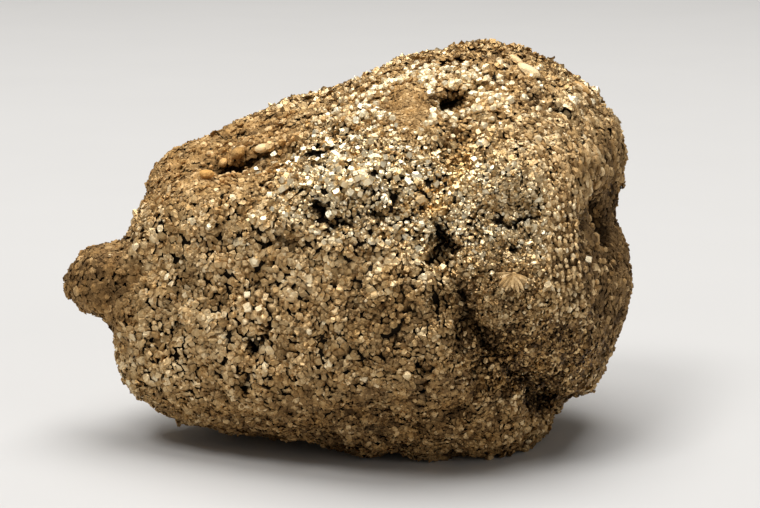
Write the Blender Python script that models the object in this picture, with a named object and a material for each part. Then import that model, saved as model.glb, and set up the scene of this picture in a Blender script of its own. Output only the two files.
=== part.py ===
"""Pyrite specimen: one loose lump of massive, granular pyrite with crystals fused to its broken faces.

Run with: blender --background --python part.py

The lump is worked out in its own view axes, in millimetres: right, up and back from its middle.
Those axes lean back by LEAN, and the lump then stands on a flat broken patch at z = 0.
"""

import math
import random

import bmesh
import bpy
import numpy as np
from mathutils import Euler, Matrix, Vector, noise

MM = 0.001

# Driving sizes, in millimetres and degrees
NODE = "pyrite_lump"
LEAN = math.radians(12)  # how far the widest section leans back
BASE_DROP = 22.3  # from the middle down to the resting patch
SPHERE_DIVISIONS = 7  # density of the first, even surface
START_RADIUS = 60.0  # the trace towards the lump starts this far out
TRACE_STEPS = 110
TRACE_PACE = 0.75  # share of the distance that each step of the trace takes
FRONT_TAPER = 0.26  # how fast the rim wall draws in, in front of the rim
BACK_TAPER = 0.06  # and behind it
EDGE_ROUND = 2.8  # rounding between two broken faces
RIM_ROUND = 2.0  # rounding between the broken faces and the rim wall
RIM_EXTRA = 0.3  # what the rounding takes from the rim, given back
FRONT_ENDS = 6.0  # the front's own shapes stop this far back, and the back's start here
SIDE_FADE = 4.0  # and fade in over this depth
HOLLOW_SPREAD = 1.6  # a hollow's slope ends this many half widths out
LEDGE_EDGE = 0.7  # width of the drop at a ledge
WANDER = 0.9  # how far the outlines of these shapes stray
WANDER_SIZE = 2.6  # from one stray to the next
BODY_TRIANGLES = 5500

# The rim, clockwise from the knob's tip: right, up and back of each corner
RIM = [
    (-36.5, -4.5, 2), (-35.9, -1.6, 2), (-34.4, 0.3, 2), (-32.9, 1.1, 2), (-30.6, 0.8, 2),
    (-30.0, 2.0, 4), (-27.6, 6.6, 5), (-27.0, 9.0, 6), (-26.3, 12.0, 7), (-24.1, 14.3, 8),
    (-19.8, 15.1, 9), (-14.2, 16.3, 10), (-8.4, 18.9, 10), (-3.4, 21.0, 11), (1.5, 23.6, 12),
    (6.8, 25.3, 12), (10.9, 26.5, 12), (16.3, 25.9, 12), (21.8, 23.2, 12), (25.5, 20.1, 12),
    (28.2, 16.4, 11), (29.8, 12.3, 10), (28.3, 9.5, 9), (27.8, 6.5, 9), (27.2, 4.6, 10),
    (28.9, 2.9, 10), (30.8, -1.0, 10), (30.5, -4.3, 9), (28.5, -9.7, 8), (26.6, -13.6, 7),
    (24.9, -16.5, 6), (20.9, -18.0, 5), (19.3, -20.8, 2), (16.8, -22.7, 0), (13.5, -23.5, -2),
    (9.4, -22.8, -3), (5.1, -23.7, -4), (1.7, -22.8, -3), (-1.1, -23.1, -3), (-5.7, -22.0, -2),
    (-11.5, -21.1, -1), (-17.9, -20.4, 0), (-24.9, -18.3, 0), (-29.2, -16.4, 0),
    (-30.1, -12.3, 1), (-31.1, -8.3, 2), (-32.2, -7.4, 2), (-35.0, -6.8, 2),
]

# Broken faces: a point on each (right, up, back), and the way it faces (turn to the right, rise)
BROKEN_FACES = {
    "top slope": ((-9.0, 14.0, -4.0), (-36, 52)),
    "crown": ((11.5, 18.3, -5.8), (6, 56)),
    "front left": ((-13.0, -6.0, -13.0), (-28, -4)),
    "front middle": ((2.0, -4.0, -20.0), (-6, -6)),
    "front upper": ((8.0, 6.0, -17.0), (2, 28)),
    "right lobe": ((16.0, -2.0, -16.5), (22, 2)),
    "right side": ((27.6, 3.0, -2.0), (68, 4)),
    "right shoulder": ((25.0, 18.5, 2.0), (48, 36)),
    "under slope": ((-4.0, -19.5, -9.5), (-8, -50)),
    "under right": ((19.0, -14.5, -8.0), (34, -38)),
    "under left": ((-26.0, -16.5, -3.0), (-38, -34)),
    "back": ((6.0, -1.0, 22.0), (170, -8)),
    "back upper": ((8.0, 17.0, 20.0), (172, 42)),
    "back upper left": ((-14.6, 12.6, 19.4), (218, 34)),
    "back left": ((-17.0, -4.0, 17.0), (212, -10)),
    "back left end": ((-31.0, -3.0, 10.0), (205, 8)),
    "back lower": ((-4.0, -19.5, 17.0), (188, -50)),
    "back right": ((24.0, 2.0, 17.0), (130, -2)),
    "back lower right": ((20.5, -16.0, 13.0), (142, -38)),
}

# Hollows: their line (right, up), half width and depth
FRONT_HOLLOWS = {
    "valley head": ([(6.1, 2.6), (6.3, 0.4)], 1.1, 3.0),
    "valley": ([(6.1, 1.5), (7.2, -1.7), (8.4, -5.0), (10.0, -8.8)], 2.0, 2.0),
    "valley foot": ([(10.0, -8.8), (12.4, -12.4), (15.4, -14.9), (18.3, -16.2)], 2.3, 2.1),
    "crown hole": ([(7.6, 17.4), (8.6, 17.2)], 1.5, 3.2),
    "crown crease": ([(8.6, 17.6), (13.6, 20.3)], 1.5, 1.1),
    "stained dish": ([(8.3, 11.6), (8.3, 9.4)], 2.0, 0.9),
    "shoulder gash": ([(-19.1, 10.3), (-15.0, 10.6), (-10.4, 12.2)], 1.4, 2.6),
    "shoulder pit": ([(19.0, 17.2), (19.4, 16.6)], 1.0, 1.5),
    "centre pit": ([(-6.3, 4.6), (-5.4, 4.2)], 1.3, 2.3),
    "centre crease": ([(-5.2, 3.6), (-0.4, 4.6), (1.6, 5.4)], 1.1, 1.0),
    "lobe crease": ([(12.4, 4.4), (15.9, 3.4)], 1.2, 1.2),
    "left pit": ([(-13.5, -10.3), (-13.0, -8.4)], 1.0, 1.9),
    "left low pit": ([(-15.0, -14.0), (-14.4, -14.3)], 0.9, 1.8),
    "middle pit": ([(-2.4, -3.1), (-1.8, -3.5)], 0.9, 1.3),
    "lower pit": ([(3.5, -11.6), (4.1, -11.8)], 0.9, 1.6),
    "side notch": ([(25.2, 6.0), (26.8, 4.4)], 1.6, 1.7),
    "side valley": ([(26.0, 3.6), (26.2, -1.0), (25.4, -6.0)], 1.5, 1.5),
    "foot step": ([(18.6, -17.4), (21.5, -18.4)], 1.5, 1.6),
}
BACK_HOLLOWS = {
    "cleft": ([(11.0, 13.5), (13.0, 6.5), (11.2, -1.0), (12.6, -7.0)], 1.8, 2.6),
    "pit": ([(-9.0, 2.4), (-6.0, 3.8)], 2.0, 2.8),
    "low pit": ([(-15.0, -9.0), (-12.2, -10.0)], 1.7, 2.2),
    "crown pit": ([(0.0, 19.0), (1.2, 18.4)], 1.3, 1.8),
}

# Low swellings: middle (right, up), radius and height
FRONT_SWELLINGS = {
    "centre knuckle": ((-1.5, 7.5), 6.5, 1.5),
    "lobe crown": ((13.5, 8.5), 7.0, 1.6),
    "lobe front": ((16.0, -4.0), 6.5, 1.4),
    "lower boss": ((13.5, -20.5), 5.0, 1.0),
    "left shoulder": ((-20.0, 6.5), 6.0, 1.2),
    "left front": ((-18.5, -6.5), 7.0, 0.9),
}
BACK_SWELLINGS = {
    "middle knuckle": ((1.5, -5.0), 9.0, 2.4),
    "left knuckle": ((-18.5, 4.0), 7.5, 1.8),
    "right knuckle": ((20.0, -5.0), 6.5, 1.8),
    "crown knuckle": ((7.0, 17.5), 6.0, 1.4),
}

# Ledges: a line (right, up) with the drop on its left, how far the drop evens out over, and its depth
BACK_LEDGES = {
    "upper step": ((6.0, 11.5), (-21.0, 7.5), 9.0, 2.4),
    "lower step": ((-12.0, -6.0), (16.0, -10.0), 7.0, 2.2),
    "right step": ((17.5, -9.0), (21.0, 12.0), 7.0, 1.8),
}

# Roughness of the broken faces: size of the lumps and their height
ROUGHNESS = [(9.0, 0.75), (4.2, 0.55), (1.9, 0.40)]
BACK_LUMPS = (16.0, 1.8)
CREASE_WIDTH = 0.5  # in lumps
LUMP_SWELL = 0.7
LUMP_SWELL_PACE = 1.3

# Crystals that stand out of the faces
CRYSTAL_COUNT = 118
CRYSTAL_SIZES = (1.2, 2.3)
CRYSTAL_GAP = 2.9  # from one crystal's middle to the next
CRYSTAL_SINK = 0.22  # share of its size that its middle lies below the surface
CRYSTAL_CLEARANCE = 2.4  # no crystal this near the resting patch
CRYSTAL_TRIES = 40  # places tried for each crystal
CRYSTAL_SEED = 11


def face_direction(turn, rise):
    """Outward direction of a face, from its turn to the right and its rise, in degrees."""
    turn, rise = math.radians(turn), math.radians(rise)
    flat = math.cos(rise)
    return np.array([math.sin(turn) * flat, math.sin(rise), -math.cos(turn) * flat])


def rounded_max(a, b, radius):
    """The larger of two distances, with a rounded change from one to the other."""
    near = np.clip(radius - np.abs(a - b), 0, None) / radius
    return np.maximum(a, b) + near * near * radius / 4


def rim_distance(points):
    """Signed distance to the rim's outline in right and up, and how far back the rim is there."""
    at = points[:, :2]
    nearest = np.full(len(at), 1e9)
    depth = np.zeros(len(at))
    inside = np.zeros(len(at), bool)
    for start, end in zip(RIM, RIM[1:] + RIM[:1]):
        a, b = np.array(start[:2], float), np.array(end[:2], float)
        along = np.clip((at - a) @ (b - a) / ((b - a) @ (b - a)), 0, 1)
        away = np.linalg.norm(at - a - along[:, None] * (b - a), axis=1)
        closer = away < nearest
        nearest = np.where(closer, away, nearest)
        depth = np.where(closer, start[2] + along * (end[2] - start[2]), depth)
        spans = (a[1] > at[:, 1]) != (b[1] > at[:, 1])
        if spans.any():
            cross = a[0] + (at[:, 1] - a[1]) * (b[0] - a[0]) / (b[1] - a[1])
            inside ^= spans & (at[:, 0] < cross)
    return np.where(inside, -nearest, nearest), depth


def lump_distance(points):
    """About how far each point is outside the plain lump; negative inside."""
    faces = None
    for (place, facing) in BROKEN_FACES.values():
        away = (points - np.array(place)) @ face_direction(*facing)
        faces = away if faces is None else rounded_max(faces, away, EDGE_ROUND)
    rim, depth = rim_distance(points)
    behind = points[:, 2] - depth
    wall = rim - RIM_EXTRA + np.where(behind > 0, BACK_TAPER, -FRONT_TAPER) * behind
    return rounded_max(faces, wall, RIM_ROUND)


def trace(directions):
    """The points where rays from far out towards the middle meet the lump."""
    reach = np.full(len(directions), START_RADIUS)
    for _ in range(TRACE_STEPS):
        away = lump_distance(directions * reach[:, None])
        reach = np.clip(reach - TRACE_PACE * away, 1.0, START_RADIUS)
    return directions * reach[:, None]


def line_distance(at, line):
    """Distance in right and up from each point to a line of one or more straight runs."""
    nearest = np.full(len(at), 1e9)
    for start, end in zip(line, line[1:]):
        a, b = np.array(start), np.array(end)
        along = np.clip((at - a) @ (b - a) / ((b - a) @ (b - a)), 0, 1)
        nearest = np.minimum(nearest, np.linalg.norm(at - a - along[:, None] * (b - a), axis=1))
    return nearest


def eased(share):
    """1 at the middle of a feature and 0 at its edge, with no sharp change."""
    share = np.clip(1 - share, 0, 1)
    return share * share * (3 - 2 * share)


def ledge_drop(at, start, end, reach):
    """1 just past the ledge's line, easing to 0 at its reach and at the line's two ends."""
    start, run = np.array(start), np.array(end) - np.array(start)
    length = np.linalg.norm(run)
    run = run / length
    along = (at - start) @ run / length
    past = (at - start) @ np.array((-run[1], run[0]))
    step = np.clip(past / LEDGE_EDGE, 0, 1) * np.clip(1 - past / reach, 0, 1)
    return step * eased(np.abs(along - 0.5) * 2)


def wandered(points):
    """Right and up of each point, with strays that give the shapes broken outlines."""
    strays = [noise.noise_vector(Vector(point / WANDER_SIZE)) for point in points]
    return points[:, :2] + WANDER * np.array(strays)[:, :2]


def side_shapes(at, hollows, swellings):
    """How far one side's hollows and swellings move each point out."""
    height = np.zeros(len(at))
    for line, half_width, depth in hollows.values():
        height -= depth * eased(line_distance(at, line) / (HOLLOW_SPREAD * half_width))
    for middle, radius, rise in swellings.values():
        height += rise * eased(np.linalg.norm(at - np.array(middle), axis=1) / radius)
    return height


def shape_front(points):
    """How far the front's own shapes move each point out."""
    height = side_shapes(wandered(points), FRONT_HOLLOWS, FRONT_SWELLINGS)
    return height * np.clip((FRONT_ENDS - points[:, 2]) / SIDE_FADE, 0, 1)


def shape_back(points):
    """How far the back's own shapes, ledges and larger lumps move each point out."""
    at = wandered(points)
    height = side_shapes(at, BACK_HOLLOWS, BACK_SWELLINGS)
    for start, end, reach, depth in BACK_LEDGES.values():
        height -= depth * ledge_drop(at, start, end, reach)
    size, rise = BACK_LUMPS
    height += rise * broken_lumps(points, size)
    return height * np.clip((points[:, 2] - FRONT_ENDS) / SIDE_FADE, 0, 1)


def broken_lumps(points, size):
    """Rounded lumps of one size with creases between them, from about -0.6 to 0.6."""
    heights = np.zeros(len(points))
    for i, point in enumerate(points):
        at = Vector(point / size)
        near = noise.voronoi(at)[0]
        from_crease = min(near[1] - near[0], CREASE_WIDTH)
        heights[i] = LUMP_SWELL * noise.noise(at * LUMP_SWELL_PACE) + from_crease - CREASE_WIDTH / 2
    return heights


def roughness(points):
    """How far the broken lumps of every size move each point out."""
    return sum(height * broken_lumps(points, size) for size, height in ROUGHNESS)


def stand_up(mesh):
    """Turns view axes in millimetres into upright axes in metres, with the base at z = 0."""
    axes = Matrix(
        (
            (1, 0, 0, 0),
            (0, math.sin(LEAN), math.cos(LEAN), 0),
            (0, math.cos(LEAN), -math.sin(LEAN), BASE_DROP),
            (0, 0, 0, 1),
        )
    )
    mesh.transform(Matrix.Diagonal((MM, MM, MM, 1)) @ axes)
    mesh.flip_normals()  # the view axes are left handed


def normals_at(mesh, points):
    """The surface's outward directions with its vertices at these points."""
    mesh.vertices.foreach_set("co", points.ravel())
    mesh.update()
    return np.array([v.normal for v in mesh.vertices])


def new_object(name, mesh, collection):
    obj = bpy.data.objects.new(name, mesh)
    collection.objects.link(obj)
    return obj


def evaluated_mesh(obj):
    """A new mesh of the object with its modifiers applied."""
    graph = bpy.context.evaluated_depsgraph_get()
    return bpy.data.meshes.new_from_object(obj.evaluated_get(graph))


def body_mesh():
    """The lump's surface, dense and even, with its hollows, swellings and roughness."""
    bm = bmesh.new()
    bmesh.ops.create_icosphere(bm, subdivisions=SPHERE_DIVISIONS, radius=1.0)
    mesh = bpy.data.meshes.new("lump")
    bm.to_mesh(mesh)
    bm.free()
    points = trace(np.array([v.co.normalized() for v in mesh.vertices]))
    for change in (shape_front, shape_back, roughness):
        points = points + normals_at(mesh, points) * change(points)[:, None]
    mesh.vertices.foreach_set("co", points.ravel())
    stand_up(mesh)
    return mesh


def thinned(mesh, triangles, collection):
    """The same surface with fewer, uneven triangles: more of them where it bends."""
    dense = new_object("dense", mesh, collection)
    thin = dense.modifiers.new("Thin", "DECIMATE")
    thin.ratio = triangles / len(mesh.polygons)
    result = evaluated_mesh(dense)
    bpy.data.objects.remove(dense)
    return result


def cut_base(mesh):
    """Cuts the lump flat at z = 0, the patch that it rests on."""
    bm = bmesh.new()
    bm.from_mesh(mesh)
    bmesh.ops.bisect_plane(
        bm,
        geom=bm.verts[:] + bm.edges[:] + bm.faces[:],
        plane_co=(0, 0, 0),
        plane_no=(0, 0, 1),
        clear_inner=True,
    )
    rim = [e for e in bm.edges if e.is_boundary]
    bmesh.ops.triangle_fill(bm, edges=rim, use_beauty=True, normal=(0, 0, -1))
    bmesh.ops.recalc_face_normals(bm, faces=bm.faces)
    bm.to_mesh(mesh)
    bm.free()


def crystal_spots(mesh, pick):
    """Spaced places on the surface, with its direction there, for the crystals."""
    faces = [f for f in mesh.polygons if f.center.z > CRYSTAL_CLEARANCE * MM]
    areas = [f.area for f in faces]
    spots = []
    tries = pick.choices(faces, weights=areas, k=CRYSTAL_COUNT * CRYSTAL_TRIES)
    for face in tries:
        place = face.center
        if all((place - other).length > CRYSTAL_GAP * MM for other, _ in spots):
            spots.append((place.copy(), face.normal.copy()))
        if len(spots) == CRYSTAL_COUNT:
            break
    return spots


def crystals_mesh(mesh):
    """Cubes of pyrite, each turned its own way and partly sunk in the surface."""
    pick = random.Random(CRYSTAL_SEED)
    bm = bmesh.new()
    for place, out in crystal_spots(mesh, pick):
        size = pick.uniform(*CRYSTAL_SIZES) * MM
        turn = Euler([pick.uniform(0, math.tau) for _ in range(3)]).to_matrix().to_4x4()
        middle = place - out * size * CRYSTAL_SINK
        bmesh.ops.create_cube(bm, size=size, matrix=Matrix.Translation(middle) @ turn)
    crystals = bpy.data.meshes.new("crystals")
    bm.to_mesh(crystals)
    bm.free()
    return crystals


def pyrite_material():
    material = bpy.data.materials.new("pyrite")
    material.use_nodes = True
    shader = material.node_tree.nodes["Principled BSDF"]
    shader.inputs["Base Color"].default_value = (0.47, 0.36, 0.20, 1)
    shader.inputs["Metallic"].default_value = 1.0
    shader.inputs["Roughness"].default_value = 0.42
    return material


def build():
    for obj in list(bpy.data.objects):
        bpy.data.objects.remove(obj)
    specimen = bpy.data.collections.new("pyrite specimen")
    helpers = bpy.data.collections.new("helpers")
    for collection in (specimen, helpers):
        bpy.context.scene.collection.children.link(collection)
    helpers.hide_render = True

    body = thinned(body_mesh(), BODY_TRIANGLES, helpers)
    cut_base(body)
    crystals = new_object("crystals", crystals_mesh(body), helpers)
    crystals.display_type = "WIRE"
    crystals.hide_render = True

    lump = new_object(NODE, body, specimen)
    lump.data.materials.append(pyrite_material())
    grown = lump.modifiers.new("Crystals", "BOOLEAN")
    grown.operation = "UNION"
    grown.object = crystals


build()
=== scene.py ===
import math
import random
import bmesh
import bpy
import numpy as np
from mathutils import Euler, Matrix, Vector, kdtree, noise


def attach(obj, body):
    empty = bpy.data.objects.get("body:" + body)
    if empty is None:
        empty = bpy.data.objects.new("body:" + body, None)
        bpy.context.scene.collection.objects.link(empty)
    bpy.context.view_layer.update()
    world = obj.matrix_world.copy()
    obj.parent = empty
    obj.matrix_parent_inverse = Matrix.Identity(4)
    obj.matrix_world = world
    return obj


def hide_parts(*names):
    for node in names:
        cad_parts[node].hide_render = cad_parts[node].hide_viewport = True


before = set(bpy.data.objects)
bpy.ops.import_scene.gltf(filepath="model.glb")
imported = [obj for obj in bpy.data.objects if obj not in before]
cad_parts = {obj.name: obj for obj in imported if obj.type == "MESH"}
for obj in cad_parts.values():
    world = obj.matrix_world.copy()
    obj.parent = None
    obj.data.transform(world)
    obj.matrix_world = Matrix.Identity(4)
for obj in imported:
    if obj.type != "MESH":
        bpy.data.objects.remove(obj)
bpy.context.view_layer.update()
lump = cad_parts["pyrite_lump"]

mm = 0.001
lean = math.radians(12)      # the lump leans back this far
middleHeight = 22.3          # mm from the shelf to the middle of its front view


# ---- places on the lump: right, up and back from the middle, in mm
def viewOf(places):
    x, y, z = (np.asarray(places) / mm).T
    z = z - middleHeight
    return np.stack([x, y * math.sin(lean) + z * math.cos(lean), y * math.cos(lean) - z * math.sin(lean)], 1)


frontDepth = (4, 3)          # the front ends this far back, in mm, over this depth
frontSearch = dict(reach=0.7, aside=0.5)    # how far aside a place on the front may lie, and what that costs
tiny = 1e-9                  # keeps a line of one place from being divided by nothing


def frontShare(view, ends=frontDepth):   # 1 on the front, down to 0 behind it
    return np.clip((ends[0] - view[:, 2]) / ends[1], 0, 1)


def offPatch(view, at, reach):           # 0 in the middle of a patch, 1 at its reach
    return (((view[:, :2] - at) / reach) ** 2).sum(1)


def lineOff(places, line):               # mm from a line of places, and 1 on its left, -1 on its right
    off, side = np.full(len(places), np.inf), np.zeros(len(places))
    for start, end in zip(line, line[1:] or line):
        start, along = np.array(start), np.subtract(end, start)
        share = np.clip((places - start) @ along / max(along @ along, tiny), 0, 1)
        gap = places - start - share[:, None] * along
        away = np.linalg.norm(gap, axis=1)
        left = along[0] * gap[:, 1] > along[1] * gap[:, 0]
        side = np.where(away < off, np.where(left, 1, -1), side)
        off = np.minimum(off, away)
    return off, side


def frontAt(view, right, up):            # which of these places lies on the front there, and the ones near it
    off = np.hypot(view[:, 0] - right, view[:, 1] - up)
    near = np.nonzero(off < frontSearch["reach"])[0]
    return near[np.argmin(view[near, 2] + frontSearch["aside"] * off[near])], near


def noiseAt(places, size):               # places in mm
    return np.array([noise.noise(Vector(p)) for p in places / size])


def ripples(places, waves):              # noise of several sizes, each with its height
    return sum(height * noiseAt(places, size) for size, height in waves)


# ---- how the lump changes from place to place
# grain is the usual distance between grains in mm, cracks is how open the joints between clusters are,
# crumbs is how many small fragments lie on each grain, loose is the share of grains with a crystal
# standing over them, sharp is how steep the grains' faces are; fresh runs from dark brown to pale
# brass, gold is a brown-gold tarnish and shine is polish
zones = {
    "blocky front": dict(at=(-14, -5), reach=(15, 11), grain=0.52, cracks=1.0, crumbs=1.1, loose=0.15,
                         sharp=0.95, fresh=0.53, gold=0.12, shine=0.34),
    "knob": dict(at=(-34, -3), reach=(6, 6), weight=2, grain=0.48, cracks=0.3, crumbs=0.4, loose=0.03,
                 sharp=0.25, fresh=0.15, gold=0.22, shine=0.12),
    "low front": dict(at=(0, -9), reach=(11, 6), grain=0.43, cracks=1.1, crumbs=0.9, loose=0.22, sharp=0.75,
                      fresh=0.26, gold=0.15, shine=0.55),
    "centre": dict(at=(-1, 8), reach=(12, 7), grain=0.34, cracks=1.4, crumbs=0.5, loose=0.40, sharp=1.25,
                   fresh=0.62, gold=0.05, shine=1.00),
    "crown": dict(at=(9, 19), reach=(14, 7), grain=0.42, cracks=0.6, crumbs=0.5, loose=0.20, sharp=0.80,
                  fresh=0.29, gold=0.20, shine=0.45),
    "top slope": dict(at=(-19, 12), reach=(12, 7), grain=0.42, cracks=0.2, crumbs=0.5, loose=0.06,
                      sharp=0.24, fresh=0.33, gold=0.34, shine=0.12),
    "right lobe": dict(at=(14, 4), reach=(7, 5), grain=0.33, cracks=0.4, crumbs=0.4, loose=0.30, sharp=1.10,
                       fresh=0.60, gold=0.00, shine=0.95),
    "lobe middle": dict(at=(13, -4), reach=(5, 4), grain=0.30, cracks=0.4, crumbs=0.5, loose=0.20,
                        sharp=1.10, fresh=0.24, gold=0.08, shine=0.85),
    "lobe edge": dict(at=(20.5, 0), reach=(2.4, 10), weight=1.5, grain=0.30, cracks=0.2, crumbs=0.2,
                      loose=0.0, sharp=0.60, fresh=0.10, gold=0.02, shine=0.45),
    "right shoulder": dict(at=(21, 13), reach=(7, 8), grain=0.44, cracks=0.3, crumbs=0.4, loose=0.15,
                           sharp=0.60, fresh=0.48, gold=0.00, shine=0.40),
    "shoulder shade": dict(at=(16.6, 18.2), reach=(1.8, 2.6), weight=2, grain=0.40, cracks=0.4, crumbs=0.4,
                           loose=0.10, sharp=0.60, fresh=0.22, gold=0.10, shine=0.40),
    "right side": dict(at=(27, 2), reach=(4, 14), weight=2, grain=0.46, cracks=0.2, crumbs=0.3, loose=0.03,
                       sharp=0.22, fresh=0.10, gold=0.02, shine=0.05),
    "lobe foot": dict(at=(17, -11), reach=(9, 6), grain=0.27, cracks=0.2, crumbs=0.3, loose=0.10,
                      sharp=1.30, fresh=0.10, gold=0.35, shine=0.95),
    # the under slope's low fresh is painted shade under the lump
    "under slope": dict(at=(-4, -20), reach=(24, 6), grain=0.37, cracks=0.3, crumbs=0.3, loose=0.10,
                        sharp=0.70, fresh=0.20, gold=0.30, shine=0.45),
    "dull patch": dict(at=(3.3, 16.9), reach=(3.4, 4.2), weight=4, grain=0.27, cracks=0.0, crumbs=0.6,
                       loose=0.0, sharp=0.20, fresh=0.36, gold=0.30, shine=0.15, beads=False),
    "groove bank": dict(at=(12.2, 17.6), reach=(3.2, 2.2), weight=2, grain=0.36, cracks=0.1, crumbs=0.5,
                        loose=0.10, sharp=0.30, fresh=0.52, gold=0.40, shine=0.25),
}
elsewhere = dict(weight=0.06, grain=0.62, cracks=0.5, crumbs=0.5,
                 loose=0.28, sharp=0.95, fresh=0.45, gold=0.12, shine=0.75)
zoneDepth = (11, 8)          # the zones end this far back, in mm, over this depth
zoneFade = 2.2               # how fast a zone gives way to the next


def zoneValues(view, key):
    share = frontShare(view, zoneDepth)
    total = np.full(len(view), elsewhere["weight"])
    value = total * elsewhere[key]
    for zone in zones.values():
        weight = np.exp(-zoneFade * offPatch(view, zone["at"], zone["reach"])) * share * zone.get("weight", 1)
        total = total + weight
        value = value + weight * zone[key]
    return value / total


def ruggedAt(view, least):               # least where the joints are closed, up to 1 where they run open
    return least + (1 - least) * zoneValues(view, "cracks").clip(0, 1)


# holes along short lines of places, darkened with painted shade: the line, half the width and the depth in mm
holes = {
    "crown hole": (((7.4, 17.0), (8.8, 17.4)), 0.95, 3.2),
    "crown groove": (((9.4, 18.0), (11.3, 19.0), (13.4, 20.0)), 0.45, 0.4),
    "crown hole left": (((6.2, 17.7),), 0.40, 0.7),
    "centre pit": (((-6.8, 5.1), (-6.2, 4.6)), 0.85, 2.4),
    "centre pit right": (((-4.2, 3.4), (-3.1, 3.1)), 0.45, 1.2),
    "centre gap": (((-2.9, 7.2), (-1.0, 6.9), (0.8, 6.3)), 0.30, 0.70),
    "centre gap low": (((-1.6, 4.5), (0.2, 4.0), (1.8, 4.3)), 0.34, 0.72),
    "valley head": (((6.0, 2.6), (6.8, 1.5), (7.5, 0.5)), 0.70, 2.8),
    "valley throat": (((7.0, -0.8), (7.4, -1.7)), 0.35, 0.9),
    "valley bend": (((8.4, -3.9), (9.1, -4.9)), 0.35, 0.8),
    "lobe gap": (((12.4, 3.6), (14.2, 3.0), (15.2, 3.6), (16.9, 3.9)), 0.46, 1.0),
    "lobe pit": (((14.4, 0.5),), 0.40, 0.8),
    "left slit": (((-14.1, 3.6), (-13.9, 2.2)), 0.22, 0.9),
    "left gap": (((-13.4, 1.6), (-12.1, 1.0)), 0.26, 0.9),
    "left gap right": (((-11.2, 1.8), (-10.2, 0.9), (-9.2, 0.8)), 0.26, 0.9),
    "left pit": (((-13.8, -3.2),), 0.45, 0.9),
    "left pit right": (((-9.4, -3.8),), 0.35, 0.7),
    "left low pit": (((-14.2, -9.4), (-13.7, -10.6)), 0.68, 2.0),
    "left foot pit": (((-15.5, -14.5), (-14.9, -14.8)), 0.45, 1.0),
    "far left pit": (((-23.0, -7.8), (-22.0, -8.4)), 0.32, 0.8),
    "far left gap": (((-26.4, -9.6), (-25.2, -10.2)), 0.25, 0.7),
    "far left gap low": (((-23.1, -10.3), (-22.1, -10.6)), 0.30, 0.7),
    "left edge pit": (((-22.1, -0.4),), 0.35, 0.7),
    "valley step": (((10.8, -9.4), (11.4, -10.1)), 0.32, 0.8),
    "valley step low": (((13.8, -12.2), (14.2, -13.4)), 0.34, 0.9),
    "middle pit": (((3.1, -6.0), (4.0, -6.2)), 0.40, 1.0),
    "lower pit": (((4.0, -11.9), (4.5, -12.6)), 0.45, 1.2),
    "boss pit": (((9.6, -17.2),), 0.50, 0.7),
    "foot recess": (((16.6, -16.2), (19.4, -17.6)), 1.20, 1.5),
    "shoulder pit": (((19.9, 16.6), (21.6, 15.7)), 0.55, 1.0),
    "shoulder gap": (((16.2, 19.4), (17.0, 17.6), (17.2, 16.4)), 0.40, 0.7),
    "gash": (((-18.0, 9.6), (-16.6, 9.9), (-15.0, 10.5)), 0.62, 2.0),
    "gash right": (((-14.8, 10.7), (-12.9, 11.4), (-11.5, 12.1)), 0.34, 0.8),
}
# back is how much a place further back counts as off the line. The edge is ragged by two noises, in full
# down to the depth raggedTo, and a hole reaches no further than widest times its half width
holeEdge = dict(back=0.25, ragged=((1.2, 0.85), (0.5, 0.45)), raggedTo=0.8, full=1.4, steep=1.5, widest=3)
laidLines = {}               # each hole's line laid on the front, filled in with the body


def holeLines(view):
    back = holeEdge["back"]
    return {name: [(*at, back * view[frontAt(view, *at)[0], 2]) for at in line]
            for name, (line, _, _) in holes.items()}


def holeDepth(view):                     # mm down, and 0 to 1 for how much painted shade
    e = holeEdge
    down, paintedShade = np.zeros(len(view)), np.zeros(len(view))
    ragged = ripples(view, e["ragged"])
    for name, (_, radius, depth) in holes.items():
        off = lineOff(view * (1, 1, e["back"]), laidLines[name])[0]
        near = e["full"] - off / radius + ragged * min(1, e["raggedTo"] / depth)
        near = np.clip(near, 0, 1) ** e["steep"] * frontShare(view) * (off < e["widest"] * radius)
        down = np.maximum(down, depth * near)
        # painted shade in the hole, as strong as the hole is deep, up to 1 mm
        paintedShade = np.maximum(paintedShade, near * min(1, depth))
    return down, paintedShade


# low swellings that fill the front out between the holes: place, reach and height in mm
swells = {
    "valley head": ((6.2, 2.2), (1.6, 1.7), 1.2),
    "valley": ((7.3, -2.0), (1.5, 2.4), 0.7),
    "valley low": ((9.5, -7.8), (1.8, 3.4), 0.5),
    "crown": ((8.1, 17.2), (1.8, 1.4), 1.3),
    "centre pit": ((-6.0, 4.5), (1.7, 1.4), 1.3),
    "centre left": ((-4.0, 3.8), (2.0, 1.3), 0.3),
    "centre right": ((1.2, 5.2), (2.0, 1.3), 0.4),
    "lobe left": ((12.6, 4.4), (1.7, 1.3), 0.6),
    "lobe right": ((15.7, 3.4), (1.8, 1.5), 1.1),
    "left": ((-13.2, -9.4), (1.5, 2.1), 1.0),
    "left low": ((-14.7, -14.1), (1.5, 1.2), 0.6),
    "valley foot": ((13.8, -12.6), (2.6, 2.2), 0.9),
    "valley end": ((17.0, -15.4), (2.2, 1.8), 0.8),
    "middle": ((-2.1, -3.3), (1.5, 1.3), 0.8),
    "lower": ((3.9, -11.7), (1.5, 1.3), 1.1),
}


def swellHeight(view):
    lift = np.zeros(len(view))
    for at, reach, height in swells.values():
        lift += height * np.exp(-offPatch(view, at, reach))
    return lift * frontShare(view)
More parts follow.
